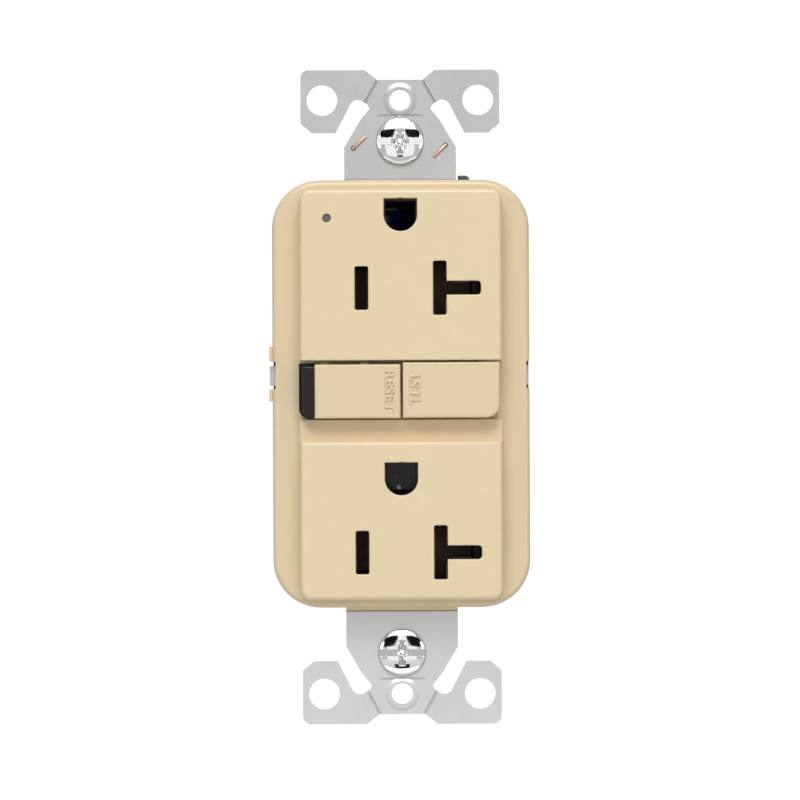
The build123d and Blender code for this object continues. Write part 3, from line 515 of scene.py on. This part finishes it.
def thread(shape, outer, inner, pitch, start, end, place):
    """Screw thread skin about local Z that narrows at its tip, closed at both ends."""
    rows = int((end - start) / pitch * THREAD_ROWS)
    rings = []
    for row in range(rows + 1):
        height = start + (end - start) * row / rows
        fade = min(1.0, (rows - row) / RUN_OUT_ROWS)
        ring = []
        for i in range(THREAD_STEPS):
            around = i / THREAD_STEPS
            phase = (row / THREAD_ROWS + around) % 1.0
            ridge = min(1.0, (1.0 - abs(2.0 * phase - 1.0)) * THREAD_CREST)
            radius = (inner + (outer - inner) * ridge) * (TIP_SHARE + (1.0 - TIP_SHARE) * fade)
            ring.append(shape.verts.new(place @ Vector((
                radius * math.cos(2 * math.pi * around),
                radius * math.sin(2 * math.pi * around), height,
            ))))
        rings.append(ring)
    join_rings(shape, rings, THREAD_STEPS)
    shape.faces.new(rings[0])
    shape.faces.new(list(reversed(rings[-1])))


def block(shape, low, high):
    """Box between two corners."""
    corners = [
        shape.verts.new((x, y, z))
        for x in (low[0], high[0]) for y in (low[1], high[1]) for z in (low[2], high[2])
    ]
    sides = (0, 1, 3, 2), (4, 6, 7, 5), (0, 4, 5, 1), (2, 3, 7, 6), (0, 2, 6, 4), (1, 5, 7, 3)
    for side in sides:
        shape.faces.new([corners[i] for i in side])


def carve(thing, cutters):
    """Cuts closed cutter meshes out of a piece and keeps the result."""
    for maker in cutters:
        tool = linked("cutter", filled("cutter", maker))
        cut = thing.modifiers.new("cut", "BOOLEAN")
        cut.object = tool
        cut.solver = "EXACT"
        bpy.context.view_layer.update()
        graph = bpy.context.evaluated_depsgraph_get()
        result = bpy.data.meshes.new_from_object(thing.evaluated_get(graph))
        thing.modifiers.remove(cut)
        thing.data = result
        bpy.data.objects.remove(tool)


def closing_spring(name, material):
    """A copy of a spring with its own mesh and finish, riding on the housing in place of the
    carried-over one.
    """
    coil = linked(name + "_coil", NODES[name].data.copy())
    coil.matrix_world = NODES[name].matrix_world.copy()
    coil.data.materials.clear()
    coil.data.materials.append(material)
    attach(coil, "housing")
    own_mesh(coil)
    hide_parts(name)


def facing(direction):
    """Turn of a lamp or card that looks in a direction."""
    return direction.to_track_quat("-Z", "Y").to_euler()


def studio_card(name, turn, lift, width, tall, material, centre=(0, 0, 0), reach=CARD_REACH):
    """A flat card seen only in reflections, an angle to the side and an angle up from a centre.

    width and tall are angles too, as seen from the centre."""
    turn, lift = math.radians(turn), math.radians(lift)
    level = math.cos(lift)
    place = Vector((math.sin(turn) * level, -math.cos(turn) * level, math.sin(lift))) * reach
    x, y = (reach * math.tan(math.radians(angle) / 2) for angle in (width, tall))
    mesh = bpy.data.meshes.new(name)
    mesh.from_pydata([(-x, -y, 0), (x, -y, 0), (x, y, 0), (-x, y, 0)], [], [(0, 1, 2, 3)])
    mesh.materials.append(material)
    card = linked(name, mesh)
    card.location = Vector(centre) + place
    card.rotation_euler = facing(-place)
    card.visible_camera = False
    card.visible_diffuse = False
    card.visible_shadow = False


# ------------------------------------------------------------------ settings
def colour_property(name, description, default):
    return FloatVectorProperty(
        name=name, description=description, subtype="COLOR", default=default, min=0.0, max=1.0)


class OutletFinish(bpy.types.PropertyGroup):
    """Colours of the outlet."""

    face_colour: colour_property(
        "Face colour", "Colour of the cover and the two buttons", (0.80, 0.655, 0.425))
    shoulder_colour: colour_property(
        "Shoulder colour", "Colour of the reset button's dark base", (0.018, 0.017, 0.015))
    rear_colour: colour_property(
        "Rear colour", "Colour of the rear cover", (0.05, 0.052, 0.056))
    strap_colour: colour_property(
        "Strap colour", "Colour of the plated strap", (0.62, 0.62, 0.615))
    ground_colour: colour_property(
        "Ground screw colour", "Colour of the ground screw", (0.001, 0.055, 0.048))


class OutletSizes(bpy.types.PropertyGroup):
    """Sizes of the fine pieces."""

    rim: FloatProperty(
        name="Moulded rim", description="Rounding of small moulded edges, in millimetres",
        default=0.16, min=0.02, max=0.6)
    lettering_height: FloatProperty(
        name="Lettering relief", description="How far the button words stand out",
        default=0.00028, min=0.00002, max=0.0005, unit="LENGTH")
    thread_pitch: FloatProperty(
        name="Thread pitch", description="Distance from one thread to the next",
        default=0.00079375, min=0.0003, max=0.002, unit="LENGTH")
    head_steps: IntProperty(
        name="Head steps", description="Number of steps around a screw head",
        default=96, min=24, max=256)


# ------------------------------------------------------------------ operators
class OUTLET_OT_front_cover(bpy.types.Operator):
    """Dress the front cover in glossy ivory"""

    bl_idname = "outlet.front_cover"
    bl_label = "Front cover"

    def execute(self, context):
        finish = context.scene.outlet_finish
        sizes = context.scene.outlet_sizes
        # low paints the flange and every surface behind the face a little darker, a painted shade
        ivory = moulded("ivory_nylon", finish.face_colour, gloss=0.34, soft=0.12,
                        low=(-0.0048, 0.94))
        dress("front_cover", ivory, rim=sizes.rim)
        return {"FINISHED"}


class OUTLET_OT_buttons(bpy.types.Operator):
    """Dress the two buttons and raise their words"""

    bl_idname = "outlet.buttons"
    bl_label = "Buttons"

    def letters(self, context, text):
        """Plain mesh of a word that lies in the XY plane."""
        letters = bpy.data.curves.new(text.lower() + "_word", "FONT")
        letters.body = text
        letters.extrude = LETTER_EXTRUDE
        letters.offset = LETTER_OFFSET
        letters.bevel_depth = LETTER_BEVEL
        carrier = linked("letters", letters)
        context.view_layer.update()
        graph = context.evaluated_depsgraph_get()
        mesh = bpy.data.meshes.new_from_object(carrier.evaluated_get(graph))
        bpy.data.objects.remove(carrier)
        return mesh

    def word(self, context, text, material, body, low, high, turn, front):
        """One raised word that fills the box from low to high, in x and z."""
        mesh = self.letters(context, text)
        upright = Matrix.Rotation(math.radians(90), 4, "X")
        mesh.transform(upright @ Matrix.Rotation(math.radians(turn), 4, "Z"))
        spots = [v.co.copy() for v in mesh.vertices]
        least, most = (
            Vector([pick(s[k] for s in spots) for k in range(3)]) for pick in (min, max))
        depth = context.scene.outlet_sizes.lettering_height
        aim_low = Vector((low[0] * MM, front - depth, low[1] * MM))
        aim_high = Vector((high[0] * MM, front + LETTER_ROOT, high[1] * MM))
        for vertex in mesh.vertices:
            for k in range(3):
                share = (vertex.co[k] - least[k]) / (most[k] - least[k])
                vertex.co[k] = aim_low[k] + share * (aim_high[k] - aim_low[k])
        mesh.materials.clear()
        mesh.materials.append(material)
        thing = linked(text.lower() + "_word", mesh)
        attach(thing, body)

    def execute(self, context):
        finish = context.scene.outlet_finish
        sizes = context.scene.outlet_sizes
        ivory = moulded("button_ivory", shade(finish.face_colour, 0.96), gloss=0.32, soft=0.12)
        # low paints the base of the shoulder behind its raised body almost black, a painted shade
        black = moulded("shoulder_black", finish.shoulder_colour, gloss=0.2, speckle=0.25,
                        grain=0.000002, index=1.3, low=(-0.0074, 0.1))
        dress("reset_button", ivory, rim=sizes.rim * 0.6)
        dress("test_button", ivory, rim=sizes.rim * 0.6)
        dress("reset_carrier", black, rim=0.12)
        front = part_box("reset_button")[0].y
        # The words are painted a little darker than the buttons and much darker towards their
        # roots: painted shade that stands in for the shading of the raised strokes.
        raised = moulded("word_ivory", shade(finish.face_colour, 0.97), gloss=0.32, soft=0.12,
                         low=(front - LETTER_SHADE_START, 0.62))
        for text, body, low, high, turn in WORDS:
            self.word(context, text, raised, body, low, high, turn, front)
        return {"FINISHED"}


class OUTLET_OT_strap(bpy.types.Operator):
    """Dress the plated strap, its clip and the ground contacts"""

    bl_idname = "outlet.strap"
    bl_label = "Mounting strap"

    def execute(self, context):
        finish = context.scene.outlet_finish
        low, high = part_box("front_cover")
        # painted shadows on the strap along the cover's bottom and top edges, where the cover
        # shades it
        edge_shadows = ((low.z, EDGE_SHADOW_STRENGTH_BOTTOM), (high.z, EDGE_SHADOW_STRENGTH_TOP))
        zinc = strap_plate("zinc_plate", finish.strap_colour, FOLDS, edge_shadows)
        dress("mounting_strap", zinc, rim=0.12, flat=True)
        copper = plated("copper_wire", (0.66, 0.45, 0.34), gloss=0.35, spangle=0.12,
                        brush=(3, 3, 3))
        dress("auto_ground_clip", copper, rim=0.05)
        bronze = plated("contact_bronze", (0.2, 0.14, 0.11), gloss=0.5, spangle=0.18,
                        brush=(1, 0.2, 1), metal=0.6)
        dress("ground_contact_upper", bronze, rim=0.08)
        dress("ground_contact_lower", bronze, rim=0.08)
        return {"FINISHED"}


class OUTLET_OT_mounting_screws(bpy.types.Operator):
    """Make the two box screws with real threads and a combination recess, and dress the washers"""

    bl_idname = "outlet.mounting_screws"
    bl_label = "Mounting screws"

    def profile(self, radius, crown, seat):
        """Half section of the domed head, from its top to its seat."""
        width, height = SEAT_CORNER
        points = [(0, crown)]
        for step in range(1, DOME_STEPS + 1):
            share = step / DOME_STEPS
            points.append((radius * DOME_SHARE * share, crown + DOME_DEPTH * share ** DOME_POWER))
        points += [(radius, crown + HEAD_RIM_DEPTH), (radius, seat - height)]
        return points + [(radius - width, seat), (0, seat)]

    def slot(self, shape, middle, crown):
        """Cutter of the straight slot."""
        half = SLOT_HALF_WIDTH
        block(shape, (middle.x - SLOT_REACH, crown - SLOT_ABOVE, middle.z - half),
              (middle.x + SLOT_REACH, crown + SLOT_DEPTH, middle.z + half))

    def cross(self, shape, middle, crown, turn):
        """Cutter of one bar of the cross recess, which narrows towards its floor."""
        place = Matrix.Translation(Vector((middle.x, 0, middle.z))) @ Matrix.Rotation(turn, 4, "Y")

        def outline(size, flare, depth):
            x, z = size
            return [
                shape.verts.new(place @ Vector((sx * x * flare[0], depth, sz * z * flare[1])))
                for sx, sz in ((1, 1), (1, -1), (-1, -1), (-1, 1))
            ]

        top = outline(CROSS_MOUTH, CROSS_FLARE, crown - CROSS_ABOVE)
        bottom = outline(CROSS_FLOOR, (1, 1), crown + CROSS_DEPTH)
        shape.faces.new(top)
        shape.faces.new(list(reversed(bottom)))
        for i in range(4):
            j = (i + 1) % 4
            shape.faces.new((top[i], bottom[i], bottom[j], top[j]))

    def screw(self, which, chrome, sizes):
        """The head and the thread of one box screw."""
        low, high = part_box("mounting_screw_" + which)
        middle = (low + high) / 2
        face = Matrix.Translation(Vector((middle.x, 0, middle.z)))
        face = face @ Matrix.Rotation(math.radians(-90), 4, "X")
        crown, end = low.y, high.y
        seat = crown + HEAD_HEIGHT
        profile = self.profile((high.x - low.x) / 2, crown, seat)
        body = "mounting_screw_" + which
        crown_piece = piece_from(
            f"box_screw_{which}_head",
            lambda shape: revolve(shape, profile, sizes.head_steps, face), chrome, body)
        carve(crown_piece, [
            lambda shape: self.slot(shape, middle, crown),
            lambda shape: self.cross(shape, middle, crown, math.radians(90)),
            lambda shape: self.cross(shape, middle, crown, 0.0),
        ])
        round_rims(crown_piece, 0.06, SCREW_RIM_ANGLE)
        even_shading(crown_piece)
        shank = piece_from(
            f"box_screw_{which}_thread",
            lambda shape: thread(shape, THREAD_OUTER, THREAD_INNER, sizes.thread_pitch,
                                 seat - THREAD_OVERLAP, end, face),
            chrome, body)
        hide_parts("mounting_screw_" + which)

    def execute(self, context):
        chrome = plated("bright_chrome", (0.78, 0.78, 0.78), gloss=0.07, spangle=0.03,
                        brush=(2, 2, 2), grain=0.000001)
        fibre = fibre_sheet("washer_fibre", (0.30, 0.16, 0.07))
        for which in ("upper", "lower"):
            self.screw(which, chrome, context.scene.outlet_sizes)
            dress("retaining_washer_" + which, fibre, rim=0.08)
        return {"FINISHED"}


class OUTLET_OT_rear_cover(bpy.types.Operator):
    """Dress the rear cover, the carrier inside it and the long assembly screws"""

    bl_idname = "outlet.rear_cover"
    bl_label = "Rear cover"

    def execute(self, context):
        finish = context.scene.outlet_finish
        sizes = context.scene.outlet_sizes
        charcoal = moulded("charcoal_nylon", finish.rear_colour, gloss=0.5, speckle=0.12,
                           grain=0.00002)
        dress("rear_cover", charcoal, rim=sizes.rim)
        # The carrier is painted almost black so that, seen through the plug slots, it stands in for
        # the shade deep inside them: painted shade.
        grey = moulded("carrier_grey", (0.045, 0.04, 0.037), gloss=0.55, speckle=0.12,
                       grain=0.00001)
        dress("contact_carrier", grey, rim=0.1)
        steel = plated("screw_zinc", (0.55, 0.55, 0.53), gloss=0.3, spangle=0.06, brush=(2, 2, 2))
        dress("assembly_screws", steel, rim=0.08)
        return {"FINISHED"}


class OUTLET_OT_terminals(bpy.types.Operator):
    """Dress the terminal plates, clamps and screws, and the ground screw"""

    bl_idname = "outlet.terminals"
    bl_label = "Terminals"

    def execute(self, context):
        brass = plated("stamped_brass", (0.74, 0.53, 0.22), gloss=0.26, spangle=0.08,
                       brush=(1, 1, 0.2))
        nickel = plated("nickel_plate", (0.70, 0.68, 0.63), gloss=0.22, spangle=0.05,
                        brush=(1, 1, 0.2))
        green = plated("green_plating", context.scene.outlet_finish.ground_colour, gloss=0.25,
                       spangle=0.25, brush=(2, 2, 2), metal=0.5)
        for pole, metal in (("hot", brass), ("neutral", nickel)):
            for end in ("line", "load"):
                for kind, rim in (("terminal", 0.1), ("clamp", 0.12), ("screw", 0.14)):
                    dress(f"{end}_{pole}_{kind}", metal, rim=rim)
        dress("ground_screw", green, rim=0.12)
        return {"FINISHED"}


class OUTLET_OT_contacts(bpy.types.Operator):
    """Dress the spring contacts, arms and conductors"""

    bl_idname = "outlet.contacts"
    bl_label = "Contacts"

    def execute(self, context):
        bronze = plated("spring_bronze", (0.46, 0.28, 0.16), gloss=0.32, spangle=0.15,
                        brush=(1, 0.3, 1))
        dark = plated("aged_bronze", (0.15, 0.09, 0.07), gloss=0.5, spangle=0.3,
                      brush=(1, 0.3, 1), metal=0.6)
        brass = plated("bar_brass", (0.66, 0.47, 0.2), gloss=0.35, spangle=0.1, brush=(0.2, 1, 1))
        for name in ("line_hot_arm", "line_neutral_arm", "test_blade"):
            dress(name, bronze, rim=0.06)
        for name in ("hot_face_contact", "neutral_face_contact"):
            dress(name, dark, rim=0.06)
        for name in ("line_hot_conductor", "line_neutral_conductor"):
            dress(name, brass, rim=0.08)
        return {"FINISHED"}


class OUTLET_OT_mechanism(bpy.types.Operator):
    """Dress the reset pin, latch, solenoid and springs"""

    bl_idname = "outlet.mechanism"
    bl_label = "Trip mechanism"

    def execute(self, context):
        steel = plated("latch_steel", (0.6, 0.6, 0.59), gloss=0.28, spangle=0.05,
                       brush=(1, 1, 0.2))
        bright = plated("ground_steel", (0.68, 0.68, 0.68), gloss=0.15, spangle=0.03,
                        brush=(3, 0.3, 3))
        wire = plated("spring_wire", (0.5, 0.5, 0.5), gloss=0.3, spangle=0.1, brush=(3, 3, 3))
        black = moulded("bobbin_black", (0.02, 0.02, 0.02), gloss=0.45, speckle=0.2,
                        grain=0.00001)
        white = moulded("latch_white", (0.62, 0.6, 0.54), gloss=0.4, speckle=0.04, grain=0.00001)
        copper = winding("coil_copper", (0.62, 0.24, 0.08))
        closing_spring("reset_spring", wire)
        dress("plunger_spring", wire)
        dress("reset_pin", bright, rim=0.06)
        dress("solenoid_plunger", bright, rim=0.06)
        dress("solenoid_frame", steel, rim=0.1)
        dress("latch_plate", steel, rim=0.06)
        dress("latch_block", white, rim=0.12)
        dress("solenoid_bobbin", black, rim=0.08)
        dress("solenoid_coil", copper, rim=0.2)
        return {"FINISHED"}


class OUTLET_OT_electronics(bpy.types.Operator):
    """Dress the circuit board, its components and the light pipe"""

    bl_idname = "outlet.electronics"
    bl_label = "Electronics"

    def execute(self, context):
        black = moulded("package_black", (0.02, 0.02, 0.021), gloss=0.55, speckle=0.3,
                        grain=0.00002)
        blue = moulded("varistor_blue", (0.02, 0.09, 0.4), gloss=0.3, speckle=0.15,
                       grain=0.00004, coat=0.5)
        yellow = moulded("capacitor_yellow", (0.72, 0.42, 0.03), gloss=0.35, speckle=0.08)
        ferrite = sintered("ferrite", (0.035, 0.035, 0.04))
        dress("circuit_board", solder_board("green_board", (0.02, 0.16, 0.06)), rim=0.05)
        dress("transformer_case", black, rim=0.12)
        dress("control_chip", black, rim=0.06)
        dress("thyristor", black, rim=0.1)
        dress("sense_transformer_core", ferrite)
        dress("neutral_transformer_core", ferrite)
        dress("varistor", blue)
        dress("filter_capacitor", yellow, rim=0.3)
        dress("resistors", banded("resistor_lacquer", (0.52, 0.4, 0.25), RINGS), rim=0.15)
        dress("status_led", clear("led_clear", (0.55, 0.85, 0.5)))
        dress("light_pipe", clear("pipe_clear", (0.8, 0.86, 0.8)))
        return {"FINISHED"}


class OUTLET_OT_stage(bpy.types.Operator):
    """Set up the pale floor, the soft lights, the reflected cards and the camera"""

    bl_idname = "outlet.stage"
    bl_label = "Studio"

    def lamp(self, name, power, width, tall, place):
        """A soft rectangular light that looks at the origin."""
        data = bpy.data.lights.new(name, "AREA")
        data.shape = "RECTANGLE"
        data.size = width
        data.size_y = tall
        data.energy = power
        thing = linked(name, data)
        thing.location = place
        thing.rotation_euler = facing(-Vector(place))

    def floor(self):
        """Pale round floor below the outlet."""
        mesh = bpy.data.meshes.new("floor")
        shape = bmesh.new()
        bmesh.ops.create_circle(shape, cap_ends=True, radius=FLOOR_RADIUS, segments=FLOOR_STEPS,
                                matrix=Matrix.Translation(FLOOR_PLACE))
        shape.to_mesh(mesh)
        shape.free()
        mesh.materials.append(floor_paint("pale_floor", (0.9, 0.9, 0.9)))
        linked("floor", mesh)

    def sky(self, scene):
        """White surroundings, with their own strengths for reflections and for the camera."""
        world = bpy.data.worlds.new("studio")
        world.use_nodes = True
        tree = world.node_tree
        tree.nodes.clear()
        path = tree.nodes.new("ShaderNodeLightPath")
        out = tree.nodes.new("ShaderNodeOutputWorld")

        def glow(strength):
            made = tree.nodes.new("ShaderNodeBackground")
            made.inputs[0].default_value = (1, 1, 1, 1)
            made.inputs[1].default_value = strength
            return made

        last = glow(SKY_STRENGTH)
        for ray, strength in RAY_STRENGTHS:
            pick = tree.nodes.new("ShaderNodeMixShader")
            tree.links.new(path.outputs[ray], pick.inputs[0])
            tree.links.new(last.outputs[0], pick.inputs[1])
            tree.links.new(glow(strength).outputs[0], pick.inputs[2])
            last = pick
        tree.links.new(last.outputs[0], out.inputs[0])
        scene.world = world

    def cards(self):
        """The cards that shape the reflections in the screw heads and the glossy plastic."""
        paints = {
            "black": moulded("card_black", (0.003, 0.003, 0.003), gloss=0.95, speckle=0.1,
                             index=1.05),
            "bright": lit_card("card_white", 1.7),
            "grey": lit_card("card_grey", 0.18),
        }
        for turn, lift, width, tall, paint in CARDS:
            studio_card("card", turn, lift, width, tall, paints[paint])
        low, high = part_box("mounting_screw_lower")
        under = ((low.x + high.x) / 2, low.y, (low.z + high.z) / 2)
        for name, turn, lift, width, tall, paint, reach in LOW_CARDS:
            studio_card(name, turn, lift, width, tall, paints[paint], under, reach)

    def camera(self, scene):
        """A long lens straight in front of the face."""
        data = bpy.data.cameras.new("camera")
        data.lens = CAMERA_LENS
        data.sensor_width = CAMERA_SENSOR
        data.clip_start, data.clip_end = CAMERA_CLIP
        camera = linked("camera", data)
        camera.location = CAMERA_PLACE
        camera.rotation_euler = (math.radians(90), math.radians(CAMERA_ROLL), 0)
        scene.camera = camera

    def execute(self, context):
        scene = context.scene
        self.floor()
        self.sky(scene)
        self.lamp("key", power=4.9, width=0.5, tall=0.35, place=(-0.02, -0.62, 0.62))
        self.lamp("fill", power=0.8, width=0.7, tall=0.7, place=(0.0, -0.9, 0.05))
        self.cards()
        scene.view_settings.view_transform = "Standard"
        scene.view_settings.look = "None"
        self.camera(scene)
        return {"FINISHED"}


class OUTLET_PT_panel(bpy.types.Panel):
    """Lists the outlet's settings and steps"""

    bl_idname = "OUTLET_PT_panel"
    bl_label = "Ground-fault outlet"
    bl_space_type = "VIEW_3D"
    bl_region_type = "UI"
    bl_category = "Outlet"

    def draw(self, context):
        layout = self.layout
        for group in (context.scene.outlet_finish, context.scene.outlet_sizes):
            for key in group.bl_rna.properties.keys():
                if key not in ("rna_type", "name"):
                    layout.prop(group, key)
        for operator in OPERATORS:
            layout.operator(operator.bl_idname)


OPERATORS = (
    OUTLET_OT_front_cover,
    OUTLET_OT_buttons,
    OUTLET_OT_strap,
    OUTLET_OT_mounting_screws,
    OUTLET_OT_rear_cover,
    OUTLET_OT_terminals,
    OUTLET_OT_contacts,
    OUTLET_OT_mechanism,
    OUTLET_OT_electronics,
    OUTLET_OT_stage,
)
CLASSES = (OutletFinish, OutletSizes, *OPERATORS, OUTLET_PT_panel)


def register():
    for item in CLASSES:
        bpy.utils.register_class(item)
    bpy.types.Scene.outlet_finish = PointerProperty(type=OutletFinish)
    bpy.types.Scene.outlet_sizes = PointerProperty(type=OutletSizes)


def unregister():
    del bpy.types.Scene.outlet_sizes
    del bpy.types.Scene.outlet_finish
    for item in reversed(CLASSES):
        bpy.utils.unregister_class(item)


def main():
    register()
    for operator in OPERATORS:
        group, name = operator.bl_idname.split(".")
        getattr(getattr(bpy.ops, group), name)()


if __name__ == "__main__":
    main()
